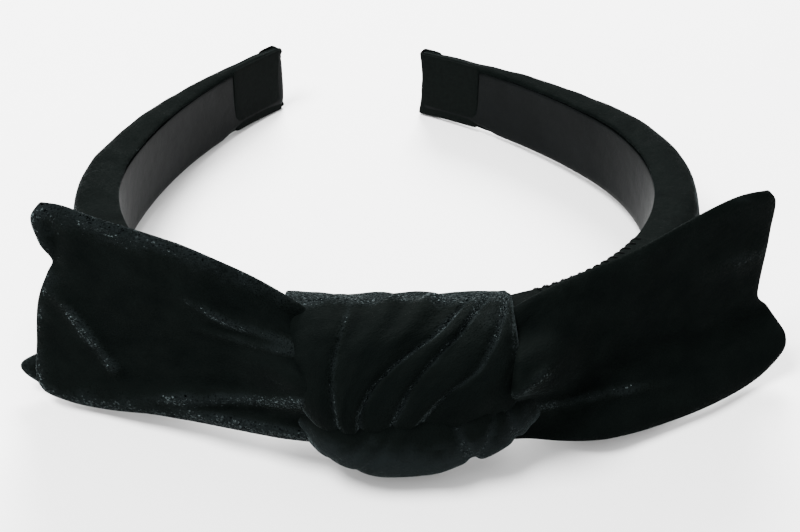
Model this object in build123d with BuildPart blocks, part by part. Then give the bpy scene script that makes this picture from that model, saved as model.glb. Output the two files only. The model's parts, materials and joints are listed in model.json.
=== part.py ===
"""Knotted velvet headband, lying on its side on a table.

The band is a springy plastic hoop under foam and velvet, with a satin lining on its inner face. A velvet bow
is knotted round the crown: a wrap, a roll under it, and two tails, each of two panels.

Everything is drawn in the band's own plane (X to the wearer's side, Y from the crown to the tips, Z across the
band), and set_down() then leans it until the knot and the tips stand on the table, Z = 0.
Along the band, s is the distance from the middle of the crown, minus on the left. n is the distance outwards
from the lining's face.
"""

import os
from math import asin, atan2, cos, degrees, hypot, radians, sin, tan

from build123d import *

# ---- The loop: three tangent arcs a side, measured on the lining's face ----------------------------------------
CROWN_RADIUS = 77.0
CROWN_SWEEP = radians(30.2)
SIDE_RADIUS = 51.0
SIDE_SWEEP = {-1: radians(77.2), 1: radians(92.6)}  # the left arm is set a little more open than the right
TIP_RADIUS = 121.6
ARM_LENGTH = 180.0

# ---- The band's layers, from the head outwards -----------------------------------------------------------------
PLY_GAP = 0.05
LINING_THICKNESS = 0.35
FLAP_THICKNESS = 0.4
HOOP_THICKNESS = 1.0
FOAM_THICKNESS = 6.3
VELVET_THICKNESS = 0.7
LINING_HALF_WIDTH = 7.9
FLAP_INNER_EDGE = 5.6
HOOP_HALF_WIDTH = 7.6
FOAM_HALF_WIDTH = 8.2
COVER_HALF_WIDTH = 10.3
TIP_HALF_WIDTH = 9.0
FOAM_STOPS_SHORT = 22.0
HOOP_STOPS_SHORT = 0.8

# ---- End tabs, folded over the tips ----------------------------------------------------------------------------
TAB_LENGTH = 19.0
TAB_THICKNESS = 0.5
TAB_HALF_WIDTH = 9.4

# ---- Flex zones: where each arm bends on the crown when the band is put on -------------------------------------
FLEX_AT = 67.0
OPEN_RANGE = 25.0
CLOSE_RANGE = 8.0
FLEX_SPARE = 2.0
FLEX_GAP = 0.5
NOTCH_OUTER_REACH = 12.0
NOTCH_INNER_REACH = 3.0

# ---- The knot --------------------------------------------------------------------------------------------------
KNOT_LEFT = -23.5
KNOT_RIGHT = 20.5
KNOT_FRONT = -25.5
KNOT_SIDE_FRONT = -15.0
WRAP_THICKNESS = 1.3
WRAP_PROFILE = (  # Y and Z round the middle of the wrap
    (6.0, -13.0),
    (6.0, 12.5),
    (-2.0, 14.8),
    (-9.0, 17.0),
    (-17.5, 13.5),
    (-23.5, 4.5),
    (-25.3, -5.0),
    (-22.0, -12.5),
    (-13.0, -16.0),
    (-3.0, -15.0),
)
ROLL_RADIUS = 7.2
ROLL_CENTRE = (-16.5, -13.8)  # Y and Z of the middle of the roll
ROLL_ENDS = (-20.5, 16.5)
ROLL_ROUNDING = 5.0
KNOT_GAP = 0.1

# ---- The tails: each panel's outline is out from the knot and up, in the tail's own leaning plane --------------
TAIL_LEAN = radians(24.0)
TAIL_START = (24.0, -13.0)  # X to either side, and Y
TAIL_TUCK = -4.0
PANEL_THICKNESS = 2.0
PANEL_GAP = 0.4
PANEL_CORNER = 1.5
TAILS = {
    "left_tail_front": (
        (TAIL_TUCK, -13.0),
        (TAIL_TUCK, 17.0),
        (12.0, 26.0),
        (30.0, 31.0),
        (53.0, 33.8),
        (58.0, 29.0),
        (56.4, 19.0),
        (60.0, 8.0),
        (62.0, -14.5),
        (45.0, -17.2),
        (20.0, -14.5),
    ),
    "left_tail_back": (
        (TAIL_TUCK, -11.0),
        (TAIL_TUCK, 15.0),
        (30.0, 28.5),
        (50.0, 31.0),
        (55.5, 27.0),
        (55.0, 18.0),
        (60.0, 4.0),
        (65.9, -9.6),
        (60.0, -15.5),
        (35.0, -14.5),
    ),
    "right_tail_front": (
        (TAIL_TUCK, -14.0),
        (TAIL_TUCK, 17.0),
        (15.0, 23.5),
        (43.0, 28.8),
        (54.0, 29.8),
        (60.5, 26.5),
        (61.0, 17.0),
        (60.6, -3.5),
        (72.0, -15.0),
        (62.0, -18.0),
        (30.0, -19.0),
        (10.0, -17.5),
    ),
    "right_tail_back": (
        (TAIL_TUCK, -12.0),
        (TAIL_TUCK, 15.0),
        (20.0, 22.0),
        (52.0, 26.5),
        (57.5, 22.0),
        (58.0, 0.0),
        (68.5, -13.5),
        (60.0, -16.5),
        (15.0, -15.0),
    ),
}

# ---- Thread ----------------------------------------------------------------------------------------------------
EDGE_THREAD_RADIUS = 0.3
EDGE_STITCH_LENGTH = 2.8
EDGE_STITCH_SLANT = 14.0
EDGE_STITCH_PITCH = 2.4
EDGE_STITCHES_FROM = 27.5
EDGE_STITCHES = 14
TACK_THREAD_RADIUS = 0.4
TACK_LENGTH = 5.0
TACK_SPREAD = 10.0
TACKS = 4

SIDES = {"left": -1, "right": 1}
STATION_PITCH = 5.0  # between the points of a curve along the band
OVERRUN = 5.0
TALL = 60.0

N_FLAP = LINING_THICKNESS + PLY_GAP
N_HOOP = N_FLAP + FLAP_THICKNESS + PLY_GAP
N_FOAM = N_HOOP + HOOP_THICKNESS + PLY_GAP
N_FLEX = N_HOOP + HOOP_THICKNESS / 2


def heading(s):
    """The band's direction at s, as an angle from the X axis, on the side that s is on."""
    along, sweep = abs(s), SIDE_SWEEP[-1 if s < 0 else 1]
    crown_end = CROWN_RADIUS * CROWN_SWEEP
    side_end = crown_end + SIDE_RADIUS * sweep
    if along < crown_end:
        return along / CROWN_RADIUS
    if along < side_end:
        return CROWN_SWEEP + (along - crown_end) / SIDE_RADIUS
    return CROWN_SWEEP + sweep + (along - side_end) / TIP_RADIUS


def band_point(s, n=0.0):
    """The point of the band's plane at s along it and n out from the lining's face."""
    side = -1 if s < 0 else 1
    turn, side_end = heading(s), CROWN_SWEEP + SIDE_SWEEP[side]
    arcs = ((CROWN_RADIUS, 0.0, CROWN_SWEEP), (SIDE_RADIUS, CROWN_SWEEP, side_end), (TIP_RADIUS, side_end, 10.0))
    x = y = 0.0
    for radius, start, end in arcs:
        stop = min(turn, end)
        if stop > start:
            x += radius * (sin(stop) - sin(start))
            y += radius * (cos(start) - cos(stop))
    return side * (x + n * sin(turn)), y - n * cos(turn)


def foam_top(s):
    """Where the foam ends at s: full round the crown, thinning to nothing at the tips."""
    share = min(1.0, max(0.0, (ARM_LENGTH - abs(s)) / (ARM_LENGTH / 2)))
    return N_FOAM + FOAM_THICKNESS * share * share * (3 - 2 * share)


def cover_inside(s):
    return foam_top(s) + PLY_GAP


def cover_outside(s):
    return cover_inside(s) + VELVET_THICKNESS


def level(n):
    """An edge that keeps to one n."""
    return lambda s: n


def band_outline(inner, outer, start, end):
    """The closed outline of the strip between two edges of the band, from start to end along it."""
    count = max(2, round((end - start) / STATION_PITCH))
    stations = [start + (end - start) * i / count for i in range(count + 1)]
    with BuildLine() as outline:
        near = Spline([band_point(s, inner(s)) for s in stations])
        far = Spline([band_point(s, outer(s)) for s in stations])
        Line(near @ 0, far @ 0)
        Line(near @ 1, far @ 1)
    return outline.edges()


# ---- How it stands: the roll and the tips' lower corners on the table --------------------------------------------
TAB_FACE = -PLY_GAP - TAB_THICKNESS
TAB_END = ARM_LENGTH + PLY_GAP
TIP_Y = band_point(-TAB_END - TAB_THICKNESS, cover_outside(ARM_LENGTH))[1]
TIP_RUN = TIP_Y - ROLL_CENTRE[0]
TIP_RISE = -TAB_HALF_WIDTH - ROLL_CENTRE[1]
LEAN = asin(ROLL_RADIUS / hypot(TIP_RUN, TIP_RISE)) + atan2(TIP_RISE, TIP_RUN)
LIFT = ROLL_RADIUS - ROLL_CENTRE[1] * cos(LEAN) + ROLL_CENTRE[0] * sin(LEAN)
MIDDLE = (2.8, 52.3)  # X and Y, in the band's plane, of the point that goes over the table's origin


def set_down(shape):
    """Moves a finished piece from the band's plane to where it stands on the table."""
    shape.move(Location((-MIDDLE[0], -MIDDLE[1], LIFT)) * Location((0, 0, 0), (-degrees(LEAN), 0, 0)))
    return shape


def hand_in(shape, name):
    shape.label = name
    export_step(set_down(shape), f"parts/{name}.step")
    box = shape.bounding_box()
    print(name, [round(v, 2) for v in (*box.min, *box.max)], round(shape.volume))


def hand_in_thirds(layer, name):
    """A layer that the notches have cut in three: left arm, crown and right arm."""
    thirds = layer.part.solids().sort_by(Axis.X)
    for place, third in zip(("left_arm", "crown", "right_arm"), thirds, strict=True):
        hand_in(third, f"{place}_{name}")


os.makedirs("parts", exist_ok=True)

# ---- The notches that let the arms swing on the crown ------------------------------------------------------------
# Each is narrow at the hoop, which only bends there, and wide outside it, where the padding bunches.
OUTER_WIDE = FLEX_GAP / 2 + NOTCH_OUTER_REACH * tan(radians(OPEN_RANGE / 2 + FLEX_SPARE))
INNER_WIDE = FLEX_GAP / 2 + NOTCH_INNER_REACH * tan(radians(CLOSE_RANGE / 2 + FLEX_SPARE))
with BuildPart() as notches:
    for side in SIDES.values():
        turn = heading(side * FLEX_AT)
        pivot_x, pivot_y = band_point(side * FLEX_AT, N_FLEX)
        pivot = Plane(origin=(pivot_x, pivot_y, 0), x_dir=(side * cos(turn), sin(turn), 0), z_dir=(0, 0, 1))
        with BuildSketch(pivot):
            with BuildLine():
                Polyline(
                    (-OUTER_WIDE, -side * NOTCH_OUTER_REACH),
                    (OUTER_WIDE, -side * NOTCH_OUTER_REACH),
                    (FLEX_GAP / 2, 0),
                    (INNER_WIDE, side * NOTCH_INNER_REACH),
                    (-INNER_WIDE, side * NOTCH_INNER_REACH),
                    (-FLEX_GAP / 2, 0),
                    close=True,
                )
            make_face()
        extrude(amount=TALL / 2, both=True)

# ---- Lining, hoop and foam ---------------------------------------------------------------------------------------
with BuildPart() as lining:
    with BuildSketch(Plane.XY.offset(-LINING_HALF_WIDTH)):
        make_face(band_outline(level(0.0), level(LINING_THICKNESS), -ARM_LENGTH, ARM_LENGTH))
    extrude(amount=2 * LINING_HALF_WIDTH)
    add(notches.part, mode=Mode.SUBTRACT)
hand_in_thirds(lining, "lining")

HOOP_END = ARM_LENGTH - HOOP_STOPS_SHORT
with BuildPart() as hoop:
    with BuildSketch(Plane.XY.offset(-HOOP_HALF_WIDTH)):
        make_face(band_outline(level(N_HOOP), level(N_HOOP + HOOP_THICKNESS), -HOOP_END, HOOP_END))
    extrude(amount=2 * HOOP_HALF_WIDTH)
    add(notches.part, mode=Mode.SUBTRACT)
hand_in_thirds(hoop, "hoop")

FOAM_END = ARM_LENGTH - FOAM_STOPS_SHORT
with BuildPart() as foam:
    with BuildSketch(Plane.XY.offset(-FOAM_HALF_WIDTH)):
        make_face(band_outline(level(N_FOAM), foam_top, -FOAM_END, FOAM_END))
    extrude(amount=2 * FOAM_HALF_WIDTH)
    add(notches.part, mode=Mode.SUBTRACT)
hand_in_thirds(foam, "foam")

# ---- Velvet cover: round the foam, with a flap turned in along each edge of the inner face ---------------------------
with BuildPart() as cover:
    with BuildSketch(Plane.XY.offset(-COVER_HALF_WIDTH)):
        make_face(band_outline(level(N_FLAP), cover_outside, -ARM_LENGTH, ARM_LENGTH))
    extrude(amount=2 * COVER_HALF_WIDTH)
    with BuildSketch(Plane.YZ):
        with BuildLine():
            Polyline(
                (KNOT_FRONT, COVER_HALF_WIDTH),
                (SIDE_RADIUS, COVER_HALF_WIDTH),
                (TIP_Y, TIP_HALF_WIDTH),
                (TIP_Y + OVERRUN, TIP_HALF_WIDTH),
                (TIP_Y + OVERRUN, -TIP_HALF_WIDTH),
                (TIP_Y, -TIP_HALF_WIDTH),
                (SIDE_RADIUS, -COVER_HALF_WIDTH),
                (KNOT_FRONT, -COVER_HALF_WIDTH),
                close=True,
            )
        make_face()
    extrude(amount=2 * TALL, both=True, mode=Mode.INTERSECT)
    with BuildSketch(Plane.XY.offset(-FOAM_HALF_WIDTH - PLY_GAP)):
        ends = ARM_LENGTH + OVERRUN
        make_face(band_outline(level(N_HOOP - PLY_GAP), cover_inside, -ends, ends))
    extrude(amount=2 * (FOAM_HALF_WIDTH + PLY_GAP), mode=Mode.SUBTRACT)
    with BuildSketch(Plane.XY.offset(-FLAP_INNER_EDGE)):
        make_face(band_outline(level(-1.0), level(N_HOOP), -ends, ends))
    extrude(amount=2 * FLAP_INNER_EDGE, mode=Mode.SUBTRACT)
    add(notches.part, mode=Mode.SUBTRACT)
hand_in_thirds(cover, "cover")

# ---- End tabs ----------------------------------------------------------------------------------------------------
for name, side in SIDES.items():
    with BuildPart() as tab:
        with BuildSketch(Plane.XY.offset(-TAB_HALF_WIDTH)):
            start, stop = sorted((side * (TAB_END - TAB_LENGTH), side * (TAB_END + TAB_THICKNESS)))
            make_face(band_outline(level(TAB_FACE), level(-PLY_GAP), start, stop))
            start, stop = sorted((side * TAB_END, side * (TAB_END + TAB_THICKNESS)))
            make_face(band_outline(level(TAB_FACE), level(cover_outside(ARM_LENGTH)), start, stop))
        extrude(amount=2 * TAB_HALF_WIDTH)
    hand_in(tab.part, f"{name}_end_tab")

# ---- The knot: a wrap round the band, and a roll below it -------------------------------------------------------------
KNOT_MIDDLE = (KNOT_LEFT + KNOT_RIGHT) / 2
with BuildPart() as roll:
    with BuildSketch(Plane.YZ.offset(ROLL_ENDS[0])):
        with Locations(ROLL_CENTRE):
            Circle(ROLL_RADIUS)
    extrude(amount=ROLL_ENDS[1] - ROLL_ENDS[0])
    fillet(roll.edges().filter_by(GeomType.CIRCLE), ROLL_ROUNDING)

with BuildPart() as wrap:
    with BuildSketch(Plane.YZ):
        with BuildLine():
            Spline(WRAP_PROFILE, periodic=True)
        make_face()
    extrude(amount=TALL / 2, both=True)
    with BuildSketch():
        with BuildLine():
            count = round((KNOT_RIGHT - KNOT_LEFT) / STATION_PITCH)
            steps = [KNOT_LEFT + (KNOT_RIGHT - KNOT_LEFT) * i / count for i in range(count + 1)]
            back = Spline([band_point(s, -WRAP_THICKNESS) for s in steps])
            left_side = Line(back @ 0, (KNOT_LEFT, KNOT_SIDE_FRONT))
            right_side = Line(back @ 1, (KNOT_RIGHT, KNOT_SIDE_FRONT))
            ThreePointArc(left_side @ 1, (KNOT_MIDDLE, KNOT_FRONT), right_side @ 1)
        make_face()
    extrude(amount=TALL / 2, both=True, mode=Mode.INTERSECT)
    with BuildSketch(Plane.XY.offset(-COVER_HALF_WIDTH - PLY_GAP)):
        over_cover = level(cover_outside(0) + PLY_GAP)
        make_face(band_outline(level(-PLY_GAP), over_cover, 2 * KNOT_LEFT, 2 * KNOT_RIGHT))
    extrude(amount=2 * (COVER_HALF_WIDTH + PLY_GAP), mode=Mode.SUBTRACT)
    with BuildSketch(Plane.YZ):
        with Locations(ROLL_CENTRE):
            Circle(ROLL_RADIUS + KNOT_GAP)
    extrude(amount=TALL / 2, both=True, mode=Mode.SUBTRACT)
hand_in(wrap.part, "knot_wrap")
hand_in(roll.part, "knot_roll")

# ---- Tails -------------------------------------------------------------------------------------------------------
for name, outline in TAILS.items():
    side = SIDES[name.split("_")[0]]
    knot_edge = (KNOT_LEFT if side < 0 else KNOT_RIGHT) + side * KNOT_GAP
    depth = PANEL_THICKNESS + PANEL_GAP if name.endswith("back") else 0.0
    tail_plane = Plane(
        origin=(side * (TAIL_START[0] - depth * sin(TAIL_LEAN)), TAIL_START[1] + depth * cos(TAIL_LEAN), 0),
        x_dir=(side * cos(TAIL_LEAN), sin(TAIL_LEAN), 0),
        z_dir=(sin(TAIL_LEAN), -side * cos(TAIL_LEAN), 0),
    )
    with BuildPart() as panel:
        with BuildSketch(tail_plane) as panel_sketch:
            with BuildLine():
                Polyline(*outline, close=True)
            make_face()
            fillet(panel_sketch.vertices(), PANEL_CORNER)
        extrude(amount=-side * PANEL_THICKNESS)
        split(bisect_by=Plane(origin=(knot_edge, 0, 0), z_dir=(side, 0, 0)), keep=Keep.TOP)
    hand_in(panel.part, name)

# ---- Thread: whip stitches along the lining's top edge, and the wrap's closing seam ---------------------------------
for name, side in SIDES.items():
    with BuildPart() as stitches:
        for i in range(EDGE_STITCHES):
            s = side * (EDGE_STITCHES_FROM + i * EDGE_STITCH_PITCH)
            x, y = band_point(s, -EDGE_THREAD_RADIUS - PLY_GAP)
            turn = degrees(heading(s))
            with Locations(Location((x, y, LINING_HALF_WIDTH + 0.5), (0, 0, side * turn))):
                Cylinder(EDGE_THREAD_RADIUS, EDGE_STITCH_LENGTH)
    hand_in(stitches.part, f"{name}_edge_stitches")

with BuildPart() as tacks:
    for i in range(TACKS):
        s = KNOT_MIDDLE + TACK_SPREAD * (i - (TACKS - 1) / 2)
        x, y = band_point(s, -WRAP_THICKNESS - PLY_GAP - TACK_THREAD_RADIUS)
        with Locations((x, y, 0)):
            Cylinder(TACK_THREAD_RADIUS, TACK_LENGTH)
hand_in(tacks.part, "tack_stitches")

# ---- Where the flex pivots come to stand, for the record -------------------------------------------------------------
for name, side in SIDES.items():
    x, y = band_point(side * FLEX_AT, N_FLEX)
    print(name, "pivot", set_down(Vertex(x, y, 0)).center())
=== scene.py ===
"""A knotted velvet headband on its side: padded velvet band, satin lining, bound tips and a bow.

Shapes are worked out in the band's own plane, in millimetres: X across the loop, Y from the crown to
the tips, Z across the band. Along the band, s is the distance from the middle of the crown, less than
0 on the left, and n the distance outwards from the lining's face. to_table carries these places to
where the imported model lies, in metres.
"""

import json
from math import atan2, ceil, cos, exp, hypot, inf, pi, radians, sin

import bmesh
import bpy
from mathutils import Matrix, Vector, noise


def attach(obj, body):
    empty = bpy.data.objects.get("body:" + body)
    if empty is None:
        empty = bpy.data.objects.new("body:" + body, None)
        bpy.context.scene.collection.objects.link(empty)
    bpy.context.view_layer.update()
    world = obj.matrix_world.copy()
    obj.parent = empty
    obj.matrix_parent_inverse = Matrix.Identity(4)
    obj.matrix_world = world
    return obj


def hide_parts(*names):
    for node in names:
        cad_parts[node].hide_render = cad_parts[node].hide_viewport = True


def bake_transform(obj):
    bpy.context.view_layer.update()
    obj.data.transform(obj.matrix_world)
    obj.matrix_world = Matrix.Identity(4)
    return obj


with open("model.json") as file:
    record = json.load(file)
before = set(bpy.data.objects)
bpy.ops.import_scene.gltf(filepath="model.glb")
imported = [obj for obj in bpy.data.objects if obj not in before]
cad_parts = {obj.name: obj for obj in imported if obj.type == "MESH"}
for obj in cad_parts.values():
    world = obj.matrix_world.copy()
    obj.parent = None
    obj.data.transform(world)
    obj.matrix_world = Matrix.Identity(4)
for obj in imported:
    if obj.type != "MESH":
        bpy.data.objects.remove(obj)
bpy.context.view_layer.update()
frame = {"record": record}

MM = 0.001
SIDES = {"left": -1, "right": 1}

# ---- The loop and the layers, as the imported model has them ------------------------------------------
CROWN_RADIUS = 77.0
CROWN_SWEEP = radians(30.2)
SIDE_RADIUS = 51.0
SIDE_SWEEP = {-1: radians(77.2), 1: radians(92.6)}
TIP_RADIUS = 121.6
ARM_LENGTH = 180.0
FOAM_END = 158.0
FLEX_AT = 67.0
FLEX_REACH = 17.0  # how far either side of the hinge the band bends
N_HOOP = 0.85  # n of the hoop's inner face
HOOP_THICKNESS = 1.0
HOOP_HALF_WIDTH = 7.6
N_FLEX = 1.35  # n of the hinge, in the middle of the hoop
N_FOAM = 1.9  # n of the foam's inner face
COVER_THICKNESS = 0.45
PANEL_THICKNESS = 0.9  # of the tails and the wrap
TIP_THICKNESS = 2.65
PADDING = 6.3
CROWN_HALF_WIDTH = 10.1
TIP_HALF_WIDTH = 9.0
LINING_TOP = 8.1
FLAP_EDGE = 5.6
TAB_LENGTH = 18.3


def blend_in(x, low, high):
    """0 below low, 1 above high, smooth between; low may be the larger."""
    t = min(1.0, max(0.0, (x - low) / (high - low)))
    return t * t * (3 - 2 * t)


def mix(a, b, t):
    return a + (b - a) * t


def through(points, x):
    """A smooth curve's height at x, through points sorted by their first number."""
    if x <= points[0][0]:
        return points[0][1]
    if x >= points[-1][0]:
        return points[-1][1]
    i = max(k for k in range(len(points) - 1) if points[k][0] <= x)

    def slope(k):
        a, b = points[max(0, k - 1)], points[min(len(points) - 1, k + 1)]
        return (b[1] - a[1]) / (b[0] - a[0])

    (x0, y0), (x1, y1) = points[i], points[i + 1]
    h = x1 - x0
    t = (x - x0) / h
    rise = y0 * (1 + 2 * t) * (1 - t) ** 2 + y1 * t * t * (3 - 2 * t)
    return rise + h * (slope(i) * t * (1 - t) ** 2 - slope(i + 1) * t * t * (1 - t))


def between(before, start, end, after, t):
    """The place t of the way from start to end, on a smooth curve that also passes before and after."""
    return 0.5 * (
        2 * start + (end - before) * t + (2 * before - 5 * start + 4 * end - after) * t * t
        + (3 * start - before - 3 * end + after) * t**3
    )


def ring_through(points, count):
    """count places round a smooth closed curve through points."""
    n, places = len(points), []
    for k in range(count):
        at = k * n / count
        i, t = int(at), at % 1
        places.append(between(*(Vector(points[(i + j) % n]) for j in (-1, 0, 1, 2)), t))
    return places


def line_through(points, count):
    """count places along a smooth open curve through points."""
    first = 2 * Vector(points[0]) - Vector(points[1])
    last = 2 * Vector(points[-1]) - Vector(points[-2])
    ends = [first, *map(Vector, points), last]
    spans, places = len(points) - 1, []
    for k in range(count):
        at = min(k * spans / (count - 1), spans - 1e-9)
        i, t = int(at), at % 1
        places.append(between(*ends[i : i + 4], t))
    return places


def heading(s):
    """How far the band has turned at s from where it points at the crown, in radians."""
    along, sweep = abs(s), SIDE_SWEEP[-1 if s < 0 else 1]
    crown_end = CROWN_RADIUS * CROWN_SWEEP
    side_end = crown_end + SIDE_RADIUS * sweep
    if along < crown_end:
        return along / CROWN_RADIUS
    if along < side_end:
        return CROWN_SWEEP + (along - crown_end) / SIDE_RADIUS
    return CROWN_SWEEP + sweep + (along - side_end) / TIP_RADIUS


def band_point(s, n=0.0, z=0.0):
    """The place at s along the band, n out from the lining and z across."""
    side = -1 if s < 0 else 1
    turn, side_end = heading(s), CROWN_SWEEP + SIDE_SWEEP[side]
    arcs = (
        (CROWN_RADIUS, 0.0, CROWN_SWEEP),
        (SIDE_RADIUS, CROWN_SWEEP, side_end),
        (TIP_RADIUS, side_end, 2 * pi),
    )
    x = y = 0.0
    for radius, start, end in arcs:
        stop = min(turn, end)
        if stop > start:
            x += radius * (sin(stop) - sin(start))
            y += radius * (cos(start) - cos(stop))
    return Vector((side * (x + n * sin(turn)), y - n * cos(turn), z))


def fullness(s):
    """0 at the tips, 1 from half way along each arm to the crown."""
    return blend_in(ARM_LENGTH - abs(s), 0, ARM_LENGTH / 2)


def thickness(s):
    """How far the cover stands out from the lining's face."""
    return TIP_THICKNESS + PADDING * fullness(s)


def half_width(s):
    return mix(TIP_HALF_WIDTH, CROWN_HALF_WIDTH, fullness(s))


# ---- Where the band's plane lies: the right arm's hinge is known both in it and on the table --------
joints = frame["record"]["behaviour"]["joints"]
flex = next(j for j in joints if j["name"] == "right_arm_flex")
LEAN = atan2(-flex["axis"][1], -flex["axis"][2])
turned = Matrix.Rotation(-LEAN, 4, "X") @ Matrix.Scale(MM, 4)
hinge = turned @ band_point(FLEX_AT, N_FLEX)
to_table = Matrix.Translation(Vector(flex["pos_m"]) - hinge) @ turned


# ---- Materials --------------------------------------------------------------------------------------
class Shader:
    """A Principled material made of nodes. Their patterns are laid out on the UV map, in metres."""

    def __init__(self, name, **sockets):
        self.material = bpy.data.materials.new(name)
        self.material.use_nodes = True
        self.nodes = self.material.node_tree.nodes
        self.links = self.material.node_tree.links
        self.principled = self.nodes["Principled BSDF"]
        for socket, value in sockets.items():
            self.principled.inputs[socket.replace("_", " ")].default_value = value
        self.place = self.nodes.new("ShaderNodeTexCoord").outputs["UV"]

    def node(self, kind, settings=None, **inputs):
        made = self.nodes.new(kind)
        for key, value in (settings or {}).items():
            setattr(made, key, value)
        for key, value in inputs.items():
            self.feed(made.inputs[key.replace("_", " ")], value)
        return made

    def feed(self, socket, value):
        if isinstance(value, bpy.types.NodeSocket):
            self.links.new(value, socket)
        else:
            socket.default_value = value

    def noise(self, per_metre, detail=3.0, roughness=0.55):
        made = self.node(
            "ShaderNodeTexNoise", Vector=self.place, Scale=per_metre, Detail=detail, Roughness=roughness
        )
        return made.outputs["Fac"]

    def ribs(self, direction, per_metre, distortion, detail):
        made = self.node(
            "ShaderNodeTexWave", {"wave_type": "BANDS", "bands_direction": direction},
            Vector=self.place, Scale=per_metre, Distortion=distortion, Detail=detail,
        )
        return made.outputs["Fac"]

    def attribute(self, name):
        return self.node("ShaderNodeAttribute", {"attribute_name": name}).outputs["Fac"]

    def ramp(self, value, *stops):
        made = self.node("ShaderNodeValToRGB", Fac=value)
        elements = made.color_ramp.elements
        while len(elements) < len(stops):
            elements.new(0.5)
        for element, (position, color) in zip(elements, stops):
            element.position = position
            element.color = (*color, 1.0)
        return made.outputs["Color"]

    def math(self, operation, *values):
        made = self.node("ShaderNodeMath", {"operation": operation})
        for socket, value in zip(made.inputs, values):
            self.feed(socket, value)
        return made.outputs[0]

    def vector(self, operation, *values):
        made = self.node("ShaderNodeVectorMath", {"operation": operation})
        for socket, value in zip(made.inputs, values):
            self.feed(socket, value)
        return made.outputs[0]

    def bump(self, height, distance, strength=1.0, normal=None):
        made = self.node("ShaderNodeBump", Strength=strength, Distance=distance, Height=height)
        if normal is not None:
            self.feed(made.inputs["Normal"], normal)
        return made.outputs["Normal"]

    def done(self, color, roughness, normal):
        self.feed(self.principled.inputs["Base Color"], color)
        self.feed(self.principled.inputs["Roughness"], roughness)
        self.feed(self.principled.inputs["Normal"], normal)
        return self.material


TUFTS_PER_METRE = 2600.0


def velvet_material():
    """Crushed velvet: black pile with cool glints. Tufts lean every way where it is creased, and lie
    even elsewhere. Two attributes of the meshes say where it is crushed, with a highlight painted into
    its colour there, and where a painted sheen makes its pile paler."""
    shader = Shader(
        "velvet", Specular_IOR_Level=0.006, Sheen_Weight=0.055, Sheen_Roughness=0.17,
        Sheen_Tint=(0.66, 0.84, 0.86, 1.0),
    )
    crush_and_glint, painted_sheen = shader.attribute("crush_and_glint"), shader.attribute("painted_sheen")
    tufts = shader.node("ShaderNodeTexVoronoi", Vector=shader.place, Scale=TUFTS_PER_METRE)
    patches = shader.noise(130.0, detail=4.0)
    lean = shader.vector("SUBTRACT", tufts.outputs["Color"], (0.5, 0.5, 0.5))
    most = shader.math("MULTIPLY_ADD", crush_and_glint, 3.6, 0.2)
    amount = shader.math("MULTIPLY", patches, most)
    scale = {"operation": "SCALE"}
    scaled = shader.node("ShaderNodeVectorMath", scale, Vector=lean, Scale=amount).outputs[0]
    surface = shader.node("ShaderNodeNewGeometry").outputs["Normal"]
    leaning = shader.vector("NORMALIZE", shader.vector("ADD", surface, scaled))
    crushed = shader.bump(patches, 0.0012, 0.5, leaning)
    pile = shader.bump(shader.noise(1400.0, detail=2.0), 0.0003, 0.5, crushed)
    tone_and_painted_sheen = shader.math("MULTIPLY_ADD", painted_sheen, 0.4, shader.math("MULTIPLY", patches, 0.6))
    # Painted highlight and painted sheen: the colour is lighter where the meshes mark crushed, glinting
    # velvet and paler pile, on top of the random patches of tone.
    color = shader.ramp(
        shader.math("MULTIPLY_ADD", crush_and_glint, 0.4, tone_and_painted_sheen),
        (0.18, (0.0010, 0.0015, 0.0014)),
        (0.42, (0.0016, 0.0023, 0.0021)),
        (0.75, (0.0045, 0.0060, 0.0062)),
    )
    rough = shader.math("MULTIPLY_ADD", shader.noise(600.0), 0.2, 0.72)
    return shader.done(color, rough, pile)


def satin_material():
    """Satin lining: charcoal, with fine floats, a broad soft shine and faint slubs."""
    shader = Shader("satin_lining", Specular_IOR_Level=0.012, Anisotropic=0.4, Sheen_Weight=0.014)
    weave = shader.ribs("Y", 900.0, 1.0, 2.0)
    slubs = shader.noise(260.0, detail=4.0)
    clouds = shader.noise(60.0, detail=2.0)
    color = shader.ramp(clouds, (0.3, (0.0014, 0.0018, 0.0018)), (0.7, (0.0022, 0.0027, 0.0028)))
    rough = shader.math("MULTIPLY_ADD", slubs, 0.16, 0.26)
    normal = shader.bump(weave, 0.00006, 0.35, shader.bump(slubs, 0.0005, 0.3))
    return shader.done(color, rough, normal)


def ribbed_material(name, dark, light, rough):
    """Plain woven binding or thread: fine ribs, dull."""
    shader = Shader(name, Specular_IOR_Level=0.02, Sheen_Weight=0.01, Sheen_Roughness=0.5)
    weave = shader.ribs("X", 900.0, 0.6, 1.5)
    fuzz = shader.noise(900.0)
    color = shader.ramp(fuzz, (0.3, dark), (0.7, light))
    normal = shader.bump(weave, 0.0001, 0.3, shader.bump(fuzz, 0.0003, 0.4))
    return shader.done(color, shader.math("MULTIPLY_ADD", fuzz, 0.1, rough), normal)


def core_material(name, dark, light, grain, depth, rough):
    """Foam and moulded plastic, inside the cover."""
    shader = Shader(name, Specular_IOR_Level=0.3)
    cells = shader.noise(grain, detail=4.0)
    color = shader.ramp(cells, (0.35, dark), (0.65, light))
    roughness = shader.math("MULTIPLY_ADD", cells, 0.1, rough)
    return shader.done(color, roughness, shader.bump(cells, depth, 0.6))


VELVET = velvet_material()
SATIN = satin_material()
BINDING = ribbed_material("end_tab", (0.0008, 0.0014, 0.0012), (0.0015, 0.0023, 0.0020), 0.85)
THREAD = ribbed_material("thread", (0.0008, 0.0010, 0.0010), (0.0016, 0.0020, 0.0020), 0.8)
PLASTIC = core_material(
    "hoop_plastic", (0.010, 0.010, 0.011), (0.014, 0.014, 0.015), 500.0, 0.0001, 0.4
)
FOAM = core_material("foam", (0.03, 0.03, 0.033), (0.06, 0.06, 0.064), 1500.0, 0.0004, 0.9)


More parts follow.
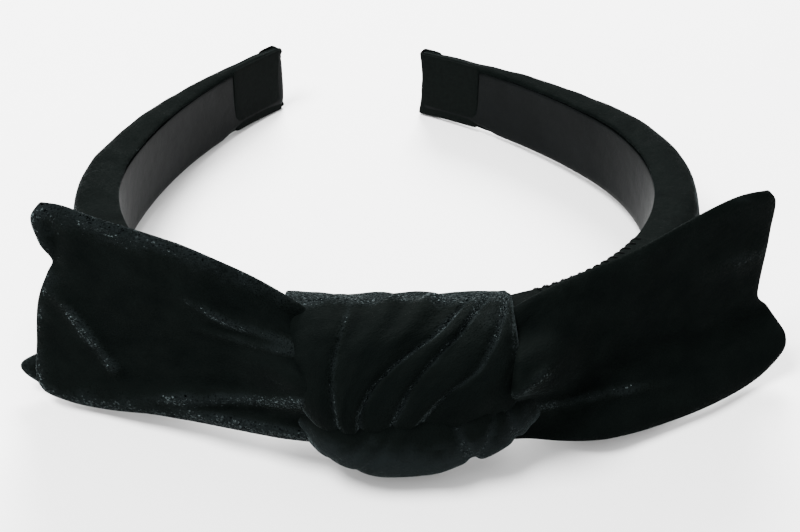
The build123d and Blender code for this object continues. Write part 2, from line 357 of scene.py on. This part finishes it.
# ---- Mesh helpers -----------------------------------------------------------------------------------
def distance(a, b):
    return (Vector(b) - Vector(a)).length


def running_total(steps):
    total = [0.0]
    for step in steps:
        total.append(total[-1] + step)
    return total


def grid_mesh(name, rows, closed, capped):
    """A mesh over a grid of points in the band's plane, with UVs that keep its real size in metres."""
    columns = len(rows[0])
    vertices = [to_table @ Vector(p) for row in rows for p in row]
    middle = rows[len(rows) // 2]
    width = running_total(distance(a, b) * MM for a, b in zip(middle, [*middle[1:], middle[0]]))
    length = running_total(
        max(distance(p, q) for p, q in zip(a, b)) * MM for a, b in zip(rows, rows[1:])
    )
    faces, corners = [], []
    for r in range(len(rows) - 1):
        for c in range(columns if closed else columns - 1):
            here, above, d = r * columns, (r + 1) * columns, (c + 1) % columns
            faces.append((here + c, here + d, above + d, above + c))
            corners += [(width[c], length[r]), (width[c + 1], length[r])]
            corners += [(width[c + 1], length[r + 1]), (width[c], length[r + 1])]
    if capped:
        for r in (0, len(rows) - 1):
            ring = [r * columns + c for c in range(columns)]
            faces.append(ring if r else ring[::-1])
            corners += [(vertices[v].x, vertices[v].z) for v in faces[-1]]
    mesh = bpy.data.meshes.new(name)
    mesh.from_pydata(vertices, [], faces)
    layer = mesh.uv_layers.new(name="real_size")
    for loop, corner in enumerate(corners):
        layer.data[loop].uv = corner
    mesh.polygons.foreach_set("use_smooth", [True] * len(faces))
    return mesh


def skin(
    name, rows, material, slot, closed=False, capped=False, thick=0.0, outwards=1.0, smooth=1,
    crush_and_glint=None, painted_sheen=None,
):
    """A piece over a grid of points in the band's plane. closed joins each row's last point to its
    first, capped fills the first and last rows, and thick makes the sheet that thick, in millimetres,
    on the side of outwards. The last two are grids like rows: how crushed the velvet is at each point,
    with a highlight painted into its colour there, and how much a painted sheen makes its pile paler."""
    mesh = grid_mesh(name, rows, closed, capped)
    for attribute, grid in (("crush_and_glint", crush_and_glint), ("painted_sheen", painted_sheen)):
        if grid:
            values = mesh.attributes.new(attribute, "FLOAT", "POINT").data
            values.foreach_set("value", [min(1.0, max(0.0, v)) for row in grid for v in row])
    mesh.materials.append(material)
    piece = bpy.data.objects.new(name, mesh)
    bpy.context.scene.collection.objects.link(piece)
    if thick:
        solid = piece.modifiers.new("thickness", "SOLIDIFY")
        solid.thickness = thick * MM
        solid.offset = outwards
        solid.use_even_offset = True
    if smooth:
        fine = piece.modifiers.new("smooth", "SUBSURF")
        fine.levels = fine.render_levels = smooth
    settle(piece)
    return piece


def settle(piece):
    """Makes the modifiers' result the piece's own mesh, with its faces turned outwards."""
    bpy.context.view_layer.update()
    evaluated = piece.evaluated_get(bpy.context.evaluated_depsgraph_get())
    shape = bpy.data.meshes.new_from_object(evaluated)
    piece.modifiers.clear()
    piece.data = shape
    surface = bmesh.new()
    surface.from_mesh(shape)
    bmesh.ops.recalc_face_normals(surface, faces=surface.faces)
    surface.to_mesh(shape)
    surface.free()
    shape.update()


def joined(name, pieces):
    """Several skins as one piece."""
    with bpy.context.temp_override(active_object=pieces[0], selected_editable_objects=pieces):
        bpy.ops.object.join()
    pieces[0].name = name
    return pieces[0]


def thread_loop(name, places, radius, sides=8, steps=9):
    """A short length of thread through places, narrowed at its ends."""
    rows = []
    path = line_through(places, steps)
    angles = [2 * pi * k / sides for k in range(sides)]
    for i, p in enumerate(path):
        ahead = (path[min(i + 1, steps - 1)] - path[max(i - 1, 0)]).normalized()
        across = ahead.orthogonal().normalized()
        other = ahead.cross(across)
        r = radius * (0.35 if i in (0, steps - 1) else 1.0)
        rows.append([p + r * (cos(a) * across + sin(a) * other) for a in angles])
    return skin(name, rows, THREAD, "thread", closed=True, capped=True, smooth=0)


def wander(p, scale, amount):
    """A smooth unevenness of about amount either way, that changes over scale millimetres."""
    return amount * noise.noise(Vector(p) / scale)


# ---- The band, in halves from the middle of the crown to each tip -----------------------------------
def across_flex(piece, side):
    ends = (band_point(side * (FLEX_AT + d)) for d in (-FLEX_REACH, FLEX_REACH))
    start, end = (to_table @ place for place in ends)
    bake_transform(piece)


def band_rows(side, end, section, pitch=2.5):
    """Rows along one half of the band, each the section's (z, n) places at that s."""
    count = ceil(end / pitch)
    stations = [max(0.01, end * i / count) for i in range(count + 1)]
    return [[band_point(side * s, n, z) for z, n in section(s)] for s in stations]


def lining_section(s):
    """The lining, eased over the lower edge and stopping short of the padded top one."""
    low = -half_width(s) - 0.45 + 1.2 * blend_in(s, 155, 161)
    inner = [(low, 0.9), (low - 0.1, 0.3), (low + 0.35, -0.3), (low + 1.5, -0.42), (low + 4.0, -0.2)]
    inner += [(0.0, -0.08), (LINING_TOP - 2.0, -0.08), (LINING_TOP, -0.05)]
    outer = [(z, n + 0.35) for z, n in reversed(inner[3:])] + [(low + 0.6, 0.3), (low + 0.3, 0.95)]
    return inner + outer


def hoop_section(s, steps=8):
    """The hoop's flat strip, the same all along."""
    zs = [mix(-HOOP_HALF_WIDTH, HOOP_HALF_WIDTH, i / steps) for i in range(steps + 1)]
    inner = [(z, N_HOOP) for z in zs]
    return inner + [(z, N_HOOP + HOOP_THICKNESS) for z in reversed(zs)]


def foam_section(s):
    """The padding: flat on the hoop, with rounded shoulders under the cover."""
    top = thickness(s) - 0.85
    shoulder = mix(N_FOAM, top, 0.6)
    base = [(z, N_FOAM) for z in (-8.0, -4.0, 0.0, 4.0, 8.0)]
    crown = [(8.1, shoulder), (7.0, top - 0.25), (3.5, top), (0.0, top)]
    return base + crown + [(-3.5, top), (-7.0, top - 0.25), (-8.1, shoulder)]


def cover_section(side):
    """The velvet, from one turned-in edge over the padding to the other, a little uneven."""

    def section(s):
        t = thickness(s)
        hw = half_width(s) + wander((side * s, 0, 0), 7.0, 0.35)
        puff = 0.35 + 0.6 * blend_in(t, TIP_THICKNESS, TIP_THICKNESS + 2.0)
        rise = 0.2 + 1.8 * blend_in(t, TIP_THICKNESS, TIP_THICKNESS + 2.5)
        rise += wander((side * s, 9, 0), 9.0, 0.3)
        half = [
            (FLAP_EDGE, 0.42),
            (hw - 1.6, 0.38),
            (hw - 0.9, -0.1 - 0.25 * puff),
            (hw - 0.2, 0.1),
            (hw + 0.25, 0.3 * t),
            (hw - 0.1 + 0.6 * blend_in(t, TIP_THICKNESS, TIP_THICKNESS + 2.0), 0.7 * t),
            (hw - 0.7 * puff, t + 0.2 * rise),
            (hw * 0.6, t + 0.85 * rise),
            (0.0, t + rise),
        ]
        places = [(p.x, p.y) for p in line_through([(z, n, 0) for z, n in half], 22)]
        loop = places + [(-z, n) for z, n in reversed(places[:-1])]
        return [
            (z, n + wander((side * s, z * 1.3, n), 4.5, 0.16) * blend_in(n, 0.3, 1.5))
            for z, n in loop
        ]

    return section


def band_half(name, side):
    """The lining, hoop, foam and cover from the middle of the crown to one tip."""
    whole = {"closed": True, "capped": True}
    lining = skin(
        f"{name}_lining", band_rows(side, ARM_LENGTH, lining_section), SATIN, "satin_lining", **whole
    )
    hoop = skin(
        f"{name}_hoop", band_rows(side, ARM_LENGTH - 0.8, hoop_section), PLASTIC, "hoop_plastic",
        smooth=0, **whole,
    )
    foam = skin(f"{name}_foam", band_rows(side, FOAM_END, foam_section), FOAM, "foam", **whole)
    rows = band_rows(side, ARM_LENGTH, cover_section(side), pitch=1.6)
    # Painted highlight: the covers' velvet is crushed a little, with a highlight painted into its colour,
    # more on the left arm than the right.
    glint_strength = 0.12 if name == "left" else 0.04
    crush_and_glint = [[glint_strength * (1 + wander(p, 15.0, 1.5)) for p in row] for row in rows]
    cover = skin(
        f"{name}_cover", rows, VELVET, "velvet", thick=COVER_THICKNESS, outwards=-side, crush_and_glint=crush_and_glint
    )
    for kind, piece in (("lining", lining), ("hoop", hoop), ("foam", foam), ("cover", cover)):
        across_flex(piece, side)
        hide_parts(f"crown_{kind}", f"{name}_arm_{kind}")


TAB_END = {"left": ARM_LENGTH - 1.2, "right": ARM_LENGTH + 0.2}  # about where each one's fold is
TAB_COLUMNS = 15


def end_tab(name, side):
    """A binding folded over the tip: up the inner face, across the end, a little way back outside."""
    rows = []
    end = TAB_END[name]
    outer = TIP_THICKNESS + 0.75
    for column in range(TAB_COLUMNS):
        across = column / (TAB_COLUMNS - 1) * 2 - 1
        tip = end + 0.5 - 0.9 * (1 - across**2)
        path = [(end - TAB_LENGTH + d, -0.35) for d in (0, 3, 6, 9, 12, 15, 17)]
        path += [(tip - 0.6, -0.35), (tip, -0.05), (tip + 0.1, outer / 2), (tip, outer)]
        path += [(tip - 0.8, outer + 0.2), (tip - 3.0, outer + 0.1), (tip - 5.5, outer)]
        z = across * (TIP_HALF_WIDTH + 0.3)
        rows.append([band_point(side * s, n, z) for s, n in path])
    tab = skin(
        f"{name}_end_tab_fold", rows, BINDING, "end_tab", thick=COVER_THICKNESS, outwards=side
    )
    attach(tab, f"{name}_arm")
    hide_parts(f"{name}_end_tab")


STITCH = (  # along, n and z
    (0.0, -0.2, 7.4),
    (0.3, -0.6, 8.3),
    (0.6, -0.5, 9.3),
    (0.9, 0.3, 10.0),
    (1.1, 1.6, 10.3),
)


def edge_stitches(name, side, first=27.5, pitch=2.4, count=14):
    """Whip stitches over the band's top edge, where the lining meets the velvet."""
    loops = []
    for i in range(count):
        s = side * (first + i * pitch)
        places = [band_point(s + side * along, n, z) for along, n, z in STITCH]
        loops.append(thread_loop(f"{name}_stitch", places, 0.3))
    piece = joined(f"{name}_whip_stitches", loops)
    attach(piece, "crown")
    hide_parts(f"{name}_edge_stitches")


# ---- The tails -------------------------------------------------------------------------------------
TAIL_START = (24.0, -13.0)  # X and Y where u, the distance out along a tail, is 0
TAIL_LEAN = radians(24.0)
TAIL_TUCK = -8.0  # u of a tail's near end, under the wrap
TAIL_STEPS = (72, 56)  # along a tail, and from its bottom edge to its top one
PLY_GAP = 2.6  # how far behind the front panel the back one lies
FORWARD = Vector((-0.08, -0.86, 0.5))  # the way that a tail's folds and flaps lift off it


def left_sweep(u, v):
    """How far the left tail comes forward, u millimetres out along it and v of the way up."""
    upper = -8.5 * blend_in(v, 0.45, 1.0) * blend_in(u, 26, -2)
    lower = 2.5 * blend_in(v, 0.3, 0.0)
    root = 8.0 * exp(-(((v - 0.45) / 0.24) ** 2)) * blend_in(u, 14, 0) * blend_in(u, -8, -2)
    return upper + lower + root


def right_sweep(u, v):
    """How far the right tail comes forward, u millimetres out along it and v of the way up."""
    upper = -7.5 * blend_in(v, 0.45, 1.0) * blend_in(u, 30, -2)
    lower = 13.0 * blend_in(v, 0.42, 0.0) * blend_in(u, -2, 22) * mix(1.0, 0.75, blend_in(u, 45, 70))
    root = 9.5 * exp(-(((v - 0.52) / 0.24) ** 2)) * blend_in(u, 18, 1) * blend_in(u, -8, -3.5)
    return upper + lower + root


# top and bottom are the edges' heights at places out along the tail, reach is how long the tail is at
# each share of the way up, the four strengths say how crushed it is along its top, its bottom, its end
# and its ridges, with a highlight painted into its colour there, stronger on the left tail than the
# right, and crumple is how uneven it is. A ridge has places, its height and its breadth.
TAIL_SHAPES = {
    "left": {
        "crumple": 0.8,
        "glint_strength": (0.95, 0.7, 0.5, 0.7),
        "top": [
            (-5, 17.2), (1.4, 21.0), (11, 25.5), (24, 29.8), (34, 31.4), (44, 32.6), (52, 34.1), (59, 33.5),
        ],
        "bottom": [
            (-5, -12.5), (6, -14.0), (23, -14.9), (35, -15.6), (45, -17.2), (54, -17.5), (63, -15.8),
        ],
        "reach": [
            (0, 61.0), (0.06, 62.6), (0.3, 61.7), (0.5, 60.2), (0.66, 57.0), (0.72, 55.6), (0.8, 57.8),
            (0.92, 59.2), (1, 56.5),
        ],
        "ridges": [
            (((59, 14), (52, 8.0), (48, 2.0), (43, -5)), 1.8, 1.8),
            (((32, 20), (16, 13.5), (0, 10.7)), 1.5, 1.4),
            (((28, 10.5), (15, 9.5), (0, 9.0)), 1.2, 1.1),
            (((44, -12.5), (20, -7.5), (-2, -1.5)), 1.7, 1.8),
            (((30, -13), (14, -12.2), (-2, -10.8)), 1.6, 1.5),
            (((56, 31), (53.5, 26), (54.5, 20)), -1.5, 1.6),
            (((57, 27), (57.5, 22), (58, 18)), 1.0, 1.4),
        ],
        "sweep": left_sweep,
    },
    "right": {
        "crumple": 0.4,
        "glint_strength": (0.2, 0.08, 0.05, 0.5),
        "top": [(-5, 18.2), (5.4, 20.7), (15, 22.3), (25, 23.9), (43, 28.2), (52, 29.4), (61, 28.3)],
        "bottom": [
            (-5, -15.0), (0.4, -16.8), (8.5, -19.6), (25, -23.0), (38, -24.0), (50, -23.7), (60, -22.3),
            (66, -19.1), (72, -12.6),
        ],
        "reach": [
            (0, 69.2), (0.12, 68.7), (0.35, 64.3), (0.43, 61.4), (0.48, 60.9), (0.8, 61.8), (0.94, 62.0),
            (1, 59.6),
        ],
        "ridges": [
            (((8, 4.0), (0, 1.0), (-5, -1.5)), 1.5, 1.5),
            (((48, -16.2), (26, -11.9), (10, -9.3), (-4, -5.7)), 1.7, 1.5),
            (((23, 5.5), (19, 2.0), (17, -1.0)), 0.8, 1.8),
            (((34, 14), (46, 12), (58, 13)), 1.0, 4.0),
        ],
        "sweep": right_sweep,
    },
}


def ridge_height(ridges, u, z):
    """How far the ridges stand, u out along the tail and z up. Each is lowest at its first place."""
    total = 0.0
    for places, height, breadth in ridges:
        best, spot = inf, 0.0
        for i, ((u0, z0), (u1, z1)) in enumerate(zip(places, places[1:])):
            du, dz = u1 - u0, z1 - z0
            t = min(1.0, max(0.0, ((u - u0) * du + (z - z0) * dz) / (du * du + dz * dz)))
            apart = hypot(u - u0 - t * du, z - z0 - t * dz)
            if apart < best:
                best, spot = apart, (i + t) / (len(places) - 1)
        total += height * exp(-((best / breadth) ** 2)) * mix(0.1, 1.0, blend_in(spot, 0.0, 0.4))
    return total


def tail_glint(glint_strength, u, v, z, reach, ridge):
    """How crushed the velvet is, with a highlight painted into its colour there, u out along a tail that
    ends at reach and v of the way up it.
    """
    top, bottom, end, ridges = glint_strength
    glint_amount = ridges * max(0.0, ridge - 0.5)
    glint_amount += top * exp(-(((1 - v) / 0.09) ** 2)) * blend_in(u, -5, 12)
    glint_amount += bottom * exp(-((v / 0.1) ** 2))
    glint_amount += end * exp(-(((reach - u) / 3.0) ** 2))
    return glint_amount + wander((u, z, 40), 12.0, 0.12)


def tail_panel(name, side, layer):
    """One panel of a tail. The back one ends a little short of the front one, except at the left
    tail's lower corner, where it shows."""
    shape = TAIL_SHAPES[name]
    back = layer == "back"
    depth = PLY_GAP if back else 0.0
    steps_out, steps_up = TAIL_STEPS
    rows, crush_and_glint = [], []
    for i in range(steps_up + 1):
        v = i / steps_up
        reach = through(shape["reach"], v)
        if back:
            corner = 6.6 * exp(-(((v - 0.085) / 0.09) ** 2)) if name == "left" else 0.0
            reach += corner - 1.0
        row, glint_amount = [], []
        for k in range(steps_out + 1):
            u = mix(TAIL_TUCK, reach, k / steps_out)
            low, high = through(shape["bottom"], u), through(shape["top"], u)
            if back:
                low += -0.9 * blend_in(u, 50, 62) if name == "left" else 0.7
                high -= 3.0
            z = mix(low, high, v)
            ridge = ridge_height(shape["ridges"], u, z)
            glint_amount.append(tail_glint(shape["glint_strength"], u, v, z, reach, ridge))
            gather = 0.35 * exp(-max(u, 0) / 10) * cos(2 * pi * (4.3 * v + 0.15 * side))
            lift = shape["sweep"](u, v) + gather
            lift += wander((u, z, 7 * side + depth), 11.0, shape["crumple"])
            lift += wander((u, z, 3 * side - depth), 4.0, 0.3 * shape["crumple"])
            if not back:
                lift += ridge
            lift -= 1.3 * (1 - min(1.0, min(v, 1 - v) / 0.05)) ** 2
            lift -= 0.9 * (1 - min(1.0, (reach - u) / 2.5)) ** 2
            x = side * (TAIL_START[0] + u * cos(TAIL_LEAN) - depth * sin(TAIL_LEAN))
            y = TAIL_START[1] + u * sin(TAIL_LEAN) + depth * cos(TAIL_LEAN)
            row.append(Vector((x, y, z)) + lift * FORWARD)
        rows.append(row)
        crush_and_glint.append(glint_amount)
    panel = skin(
        f"{name}_tail_{layer}_panel", rows, VELVET, "velvet", thick=PANEL_THICKNESS, outwards=0,
        crush_and_glint=crush_and_glint,
    )
    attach(panel, "crown")
    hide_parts(f"{name}_tail_{layer}")


# ---- The knot: a pleated wrap round the band, and the roll that it makes below ----------------------
WRAP_RING = (  # Y and Z, from the inner side over the top and down the front
    (2.3, 9.0),
    (0.6, 13.2),
    (-5.0, 16.3),
    (-10.5, 16.4),
    (-15.6, 15.0),
    (-18.9, 12.8),
    (-21.8, 9.8),
    (-23.7, 6.5),
    (-24.9, 2.3),
    (-24.7, -2.2),
    (-22.4, -6.2),
    (-17.5, -9.8),
    (-11.0, -13.0),
    (-3.0, -13.5),
    (2.0, -10.0),
    (2.5, 0.0),
)
RING_FRONT = (2, 10)  # the ring's places between which the pleats show
WRAP_STEPS = 144  # round the ring
WRAP_SIDES = (-25.8, 20.5)  # X of the wrap's two edges where no pleats show
WRAP_MIDDLE = Vector((-9.0, 0.5))  # Y and Z that the pleats stand out from
CREASES = (  # X of each crease, at equal steps from the top of the front to its foot
    (-27.2, -27.0, -26.4, -25.4, -23.0),
    (-12.5, -15.6, -17.8, -17.8, -16.0),
    (12.5, 3.7, -6.8, -12.3, -12.5),
    (16.0, 8.6, 0.5, -4.6, -7.5),
    (20.2, 16.5, 11.5, 2.0, -3.0),
    (20.8, 20.0, 18.6, 15.0, 11.0),
    (21.0, 21.0, 21.0, 20.5, 19.5),
)
PLEAT_COLUMNS = (14, 34, 12, 14, 16, 6)  # of the mesh, in each pleat
PLEAT_HEIGHTS = (1.2, 1.9, 1.6, 1.6, 0.7, 0.2)
RIBBED_PLEAT = 1  # the broad one, with three small folds of its own at its top
CREASE_GLINT = (0.4, 0.7, 1.0, 0.8, 0.85, 0.1, 0.0)  # how crushed the velvet is along each crease, with a highlight painted into its colour there


def wrap_point(ring, around, pleat, t):
    """The wrap at ring place around, t of the way across a pleat, and how crushed its velvet is, with a
    highlight painted into its colour there.
    """
    first, last = RING_FRONT
    down = min(1.0, max(0.0, (around - first) / (last - first)))
    shown = blend_in(around, 0.3, first) * blend_in(around, len(WRAP_RING) - 3, last)
    x0, x1 = (
        through([(i / 4, x) for i, x in enumerate(crease)], down)
        for crease in CREASES[pleat : pleat + 2]
    )
    share = (sum(PLEAT_COLUMNS[:pleat]) + t * PLEAT_COLUMNS[pleat]) / sum(PLEAT_COLUMNS)
    x = mix(mix(*WRAP_SIDES, share), mix(x0, x1, t), shown)

    hump = (1 - abs(2 * t - 1) ** 2.6) * (0.8 + 0.4 * t)
    lift = PLEAT_HEIGHTS[pleat] * (hump - 0.35) * mix(0.25, 1.0, shown)
    lift *= mix(0.5, 1.0, blend_in(down, 0.0, 0.3)) * mix(1.0, 0.3, blend_in(down, 0.6, 1.0))
    if pleat == RIBBED_PLEAT:
        lift += 0.55 * cos(2 * pi * 3 * t) * blend_in(down, 0.42, 0.05) * shown
    tuck = (4.0 if share > 0.5 else 5.5) * abs(2 * share - 1) ** 9
    tuck *= blend_in(around, 0.6, first + 1.5) * blend_in(around, len(WRAP_RING) - 2, last)
    place = ring - WRAP_MIDDLE
    out = lift - tuck + wander((x, place.x, place.y), 5.0, 0.3)
    place = place * (1 + out / place.length) + WRAP_MIDDLE
    bow = x * x / (2 * CROWN_RADIUS) * mix(1.0, 0.35, shown)
    height = place.y - 0.045 * max(0.0, x + 12) * blend_in(place.y, 4.0, 12.0)

    # Painted highlight: along the creases, in a band over the top of the wrap, and on the right of its
    # upper front.
    near = exp(-(((x - x0) / 0.7) ** 2)) * CREASE_GLINT[pleat]
    near += exp(-(((x1 - x) / 0.9) ** 2)) * CREASE_GLINT[pleat + 1]
    glint_amount = shown * near * blend_in(down, 0.0, 0.15) + 0.95 * blend_in(down, 0.1, 0.0)
    glint_amount += 0.3 * shown * blend_in(x, -2.0, 12.0) * blend_in(down, 0.62, 0.2)
    return Vector((x, place.x + bow, height)), glint_amount


def knot_wrap():
    """The velvet that goes once round the band, with slanting pleats on its front."""
    ring = ring_through([(y, z, 0) for y, z in WRAP_RING], WRAP_STEPS)
    rows = []
    for k, place in enumerate(ring):
        around = k * len(WRAP_RING) / WRAP_STEPS
        row = []
        for pleat, columns in enumerate(PLEAT_COLUMNS):
            row += [wrap_point(place.xy, around, pleat, i / columns) for i in range(columns)]
        row.append(wrap_point(place.xy, around, len(PLEAT_COLUMNS) - 1, 1.0))
        rows.append(row)
    columns = list(zip(*rows))
    places = [[place for place, _ in column] for column in columns]
    crush_and_glint = [[glint_amount for _, glint_amount in column] for column in columns]
    wrap = skin(
        "knot_wrap_pleats", places, VELVET, "velvet", closed=True, thick=PANEL_THICKNESS,
        outwards=-1, crush_and_glint=crush_and_glint,
    )
    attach(wrap, "crown")
    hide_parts("knot_wrap")


ROLL_PATH = (  # the roll's middle, its half height and its half depth
    ((-25.5, -11.0, -4.8), 5.6, 4.0),
    ((-20.0, -13.4, -6.0), 9.2, 9.2),
    ((-12.0, -15.2, -7.2), 11.4, 10.2),
    ((-4.0, -16.2, -7.5), 12.8, 9.8),
    ((4.0, -16.2, -7.3), 12.1, 9.8),
    ((11.0, -15.4, -6.9), 11.1, 9.5),
    ((17.5, -13.9, -6.3), 10.2, 8.8),
    ((23.0, -12.2, -5.4), 8.4, 7.2),
    ((28.0, -9.5, -5.4), 6.0, 3.4),
)
ROLL_CREASES = (  # each one's place along the front, slant, depth, breadth and how crushed it is, with a highlight painted into its colour there
    (0.24, 0.12, 0.4, 0.020, 0.2),
    (0.31, 0.10, 0.4, 0.018, 0.2),
    (0.58, -0.06, 0.8, 0.022, 0.8),
    (0.68, 0.05, 0.5, 0.018, 0.5),
    (0.79, -0.05, 0.9, 0.020, 0.7),
    (0.87, -0.05, 0.4, 0.018, 0.1),
)
ROLL_STEPS = (110, 64)  # along the roll, and round it


def knot_roll():
    """The fold of velvet under the wrap, which bulges forward and stands on the table."""
    stations, sides = ROLL_STEPS
    middles = line_through([p for p, _, _ in ROLL_PATH], stations)
    sizes = line_through([(h, d, 0) for _, h, d in ROLL_PATH], stations)
    rows, crush_and_glint, painted_sheen = [], [], []
    for i, (middle, size) in enumerate(zip(middles, sizes)):
        share = i / (stations - 1)
        row, glint_amount, lit = [], [], []
        for k in range(sides):
            a = 2 * pi * k / sides
            depth = crushed = 0.0
            for at, slant, deep, breadth, glint_strength in ROLL_CREASES:
                near = exp(-(((share - at - slant * sin(a)) / breadth) ** 2))
                near *= blend_in(cos(a), 0.0, 0.5)
                depth += deep * near
                crushed += glint_strength * near
            r = 1 - depth / 10 + wander((middle.x, 4 * cos(a), 4 * sin(a)), 6.0, 0.05)
            row.append(middle + Vector((0, -size.y * r * cos(a), size.x * r * sin(a))))
            # Painted highlight: a little everywhere on the roll, and more along its creases.
            glint_amount.append(0.06 + 0.8 * crushed)
            # Painted sheen: the lower front of the roll is made paler.
            lit.append(1.3 * blend_in(sin(a), 0.5, -0.7) * blend_in(cos(a), -0.2, 0.4))
        rows.append(row)
        crush_and_glint.append(glint_amount)
        painted_sheen.append(lit)
    roll = skin(
        "knot_roll_fold", rows, VELVET, "velvet", closed=True, capped=True, crush_and_glint=crush_and_glint, painted_sheen=painted_sheen
    )
    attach(roll, "crown")
    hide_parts("knot_roll")


TACK = ((-2.7, -2.6), (-3.3, -1.4), (-3.4, 0.0), (-3.3, 1.4), (-2.7, 2.6))  # n and z


def tack_stitches(first=-1.5, count=4, spread=10.0):
    """The wrap's closing seam, inside the band."""
    loops = []
    for i in range(count):
        s = first + spread * (i - (count - 1) / 2)
        loops.append(thread_loop("tack", [band_point(s, n, z) for n, z in TACK], 0.4))
    piece = joined("wrap_seam_stitches", loops)
    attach(piece, "crown")
    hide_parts("tack_stitches")


# ---- Camera, light and floor ------------------------------------------------------------------------
CAMERA_AIM = (3.07, 53.7, -15.4)  # in the band's plane
CAMERA_AWAY = 396.86  # from the aim
FLOOR_REACH = 6.0  # in metres
LIGHTS_AIM = (0, 0, 0.02)


def place_camera():
    elevation, azimuth, roll = radians(38.36), radians(-6.14), radians(1.22)
    back = Vector((sin(azimuth) * cos(elevation), -cos(azimuth) * cos(elevation), sin(elevation)))
    right = Vector((cos(azimuth), sin(azimuth), 0))
    turn = Matrix((right, back.cross(right), back)).transposed().to_4x4()
    turn = turn @ Matrix.Rotation(roll, 4, "Z")
    place = to_table @ Vector(CAMERA_AIM) + back * (CAMERA_AWAY * MM)
    camera = bpy.data.objects.new("camera", bpy.data.cameras.new("camera"))
    camera.data.lens = 72.0
    camera.data.clip_start = 0.01
    camera.matrix_world = Matrix.Translation(place) @ turn
    bpy.context.scene.collection.objects.link(camera)
    bpy.context.scene.camera = camera


def soft_light(name, place, size, watts):
    lamp = bpy.data.lights.new(name, "AREA")
    lamp.shape = "DISK"
    lamp.size = size
    lamp.energy = watts
    holder = bpy.data.objects.new(name, lamp)
    holder.location = place
    towards = Vector(LIGHTS_AIM) - Vector(place)
    holder.rotation_euler = towards.to_track_quat("-Z", "Y").to_euler()
    bpy.context.scene.collection.objects.link(holder)


def studio():
    """An even white surround, two soft lamps and a nearly white floor."""
    world = bpy.data.worlds.new("studio")
    world.use_nodes = True
    background = world.node_tree.nodes["Background"].inputs
    background["Color"].default_value = (1.0, 1.0, 1.0, 1.0)
    background["Strength"].default_value = 1.5
    bpy.context.scene.world = world
    r = FLOOR_REACH
    mesh = bpy.data.meshes.new("floor")
    mesh.from_pydata([(-r, -r, 0), (r, -r, 0), (r, r, 0), (-r, r, 0)], [], [(0, 1, 2, 3)])
    shader = Shader("floor", Specular_IOR_Level=0.0)
    speckle = shader.noise(40.0)
    color = shader.ramp(speckle, (0.0, (0.93, 0.93, 0.93)), (1.0, (0.96, 0.96, 0.96)))
    mesh.materials.append(shader.done(color, 0.9, shader.bump(speckle, 0.0001, 0.1)))
    floor = bpy.data.objects.new("floor", mesh)
    bpy.context.scene.collection.objects.link(floor)
    soft_light("key", (-0.35, -0.15, 0.75), 0.35, 22.0)
    soft_light("back", (0.1, 0.75, 0.55), 0.5, 38.0)


place_camera()
studio()
for name, side in SIDES.items():
    band_half(name, side)
    end_tab(name, side)
    edge_stitches(name, side)
knot_wrap()
knot_roll()
for name, side in SIDES.items():
    tail_panel(name, side, "front")
    tail_panel(name, side, "back")
tack_stitches()
